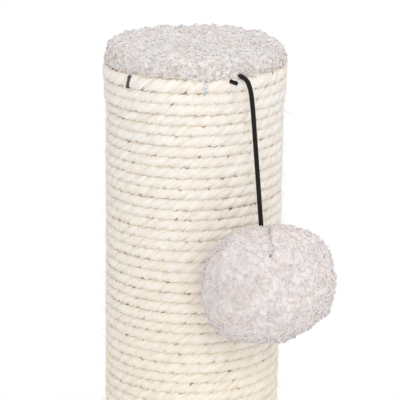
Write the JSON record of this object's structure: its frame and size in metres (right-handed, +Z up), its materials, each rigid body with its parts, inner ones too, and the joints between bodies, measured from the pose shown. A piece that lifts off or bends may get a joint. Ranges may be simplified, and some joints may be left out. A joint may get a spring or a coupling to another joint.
{
  "type": "cat scratching post",
  "caption": "Rope-wound round scratching post on a square plush-covered base, with a padded plush top and a plush ball hanging from it on an elastic cord.",
  "frame": {"origin": "middle of the underside, on the floor", "axes": "+Z up along the post, -Y towards the front; the toy hangs at the front, 29 degrees round to the right (+X)"},
  "size_m": [0.3048, 0.3048, 0.401],
  "materials": {
    "sisal": "matte",
    "plush": "matte",
    "base_plush": "matte",
    "filling": "matte",
    "felt": "matte",
    "elastic": "matte",
    "fibreboard": "matte",
    "paperboard": "matte",
    "staple_steel": "satin",
    "zinc_steel": "satin"
  },
  "bodies": {
    "post": {"base_board": "fibreboard", "base_cover": "base_plush", "base_lining": "felt", "base_cover_staples": "staple_steel", "bolt_washer": "zinc_steel", "post_bolt": "zinc_steel", "tee_nut": "zinc_steel", "bottom_plug": "fibreboard", "bottom_plug_staples": "staple_steel", "post_tube": "paperboard", "top_plug": "fibreboard", "top_plug_staples": "staple_steel", "top_pad": "filling", "top_cover": "plush", "rope_winding": "sisal", "rope_lower_winding": "sisal", "rope_top_staples": "staple_steel", "rope_bottom_staples": "staple_steel", "toy_cord_tail": "elastic"},
    "cord_anchor": {"toy_cord_knot_top": "elastic"},
    "cord": {"toy_cord": "elastic"},
    "cord_end": {"toy_cord_knot_bottom": "elastic"},
    "ball": {"toy_ball_cover": "plush", "toy_ball_filling": "filling"}
  },
  "joints": [
    {"name": "toy_swing_side", "type": "hinge", "parent": "post", "child": "cord_anchor", "pos_m": [0.02259, -0.04076, 0.39281], "axis": [0.4848, -0.8746, 0], "range_deg": [-60, 60]},
    {"name": "toy_swing_out", "type": "hinge", "parent": "cord_anchor", "child": "cord", "pos_m": [0.02259, -0.04076, 0.39281], "axis": [-0.8746, -0.4848, 0], "range_deg": [0, 75]},
    {"name": "cord_stretch", "type": "slide", "parent": "cord", "child": "cord_end", "axis": [0.0863, -0.1556, -0.984], "range_m": [0, 0.06], "stiffness_N_per_m": 30, "springref_m": -0.014, "deforming": ["toy_cord"]},
    {"name": "ball_spin", "type": "hinge", "parent": "cord_end", "child": "ball", "pos_m": [0.03363, -0.06067, 0.3167], "axis": [0.1634, -0.2948, -0.9415], "continuous": true}
  ]
}
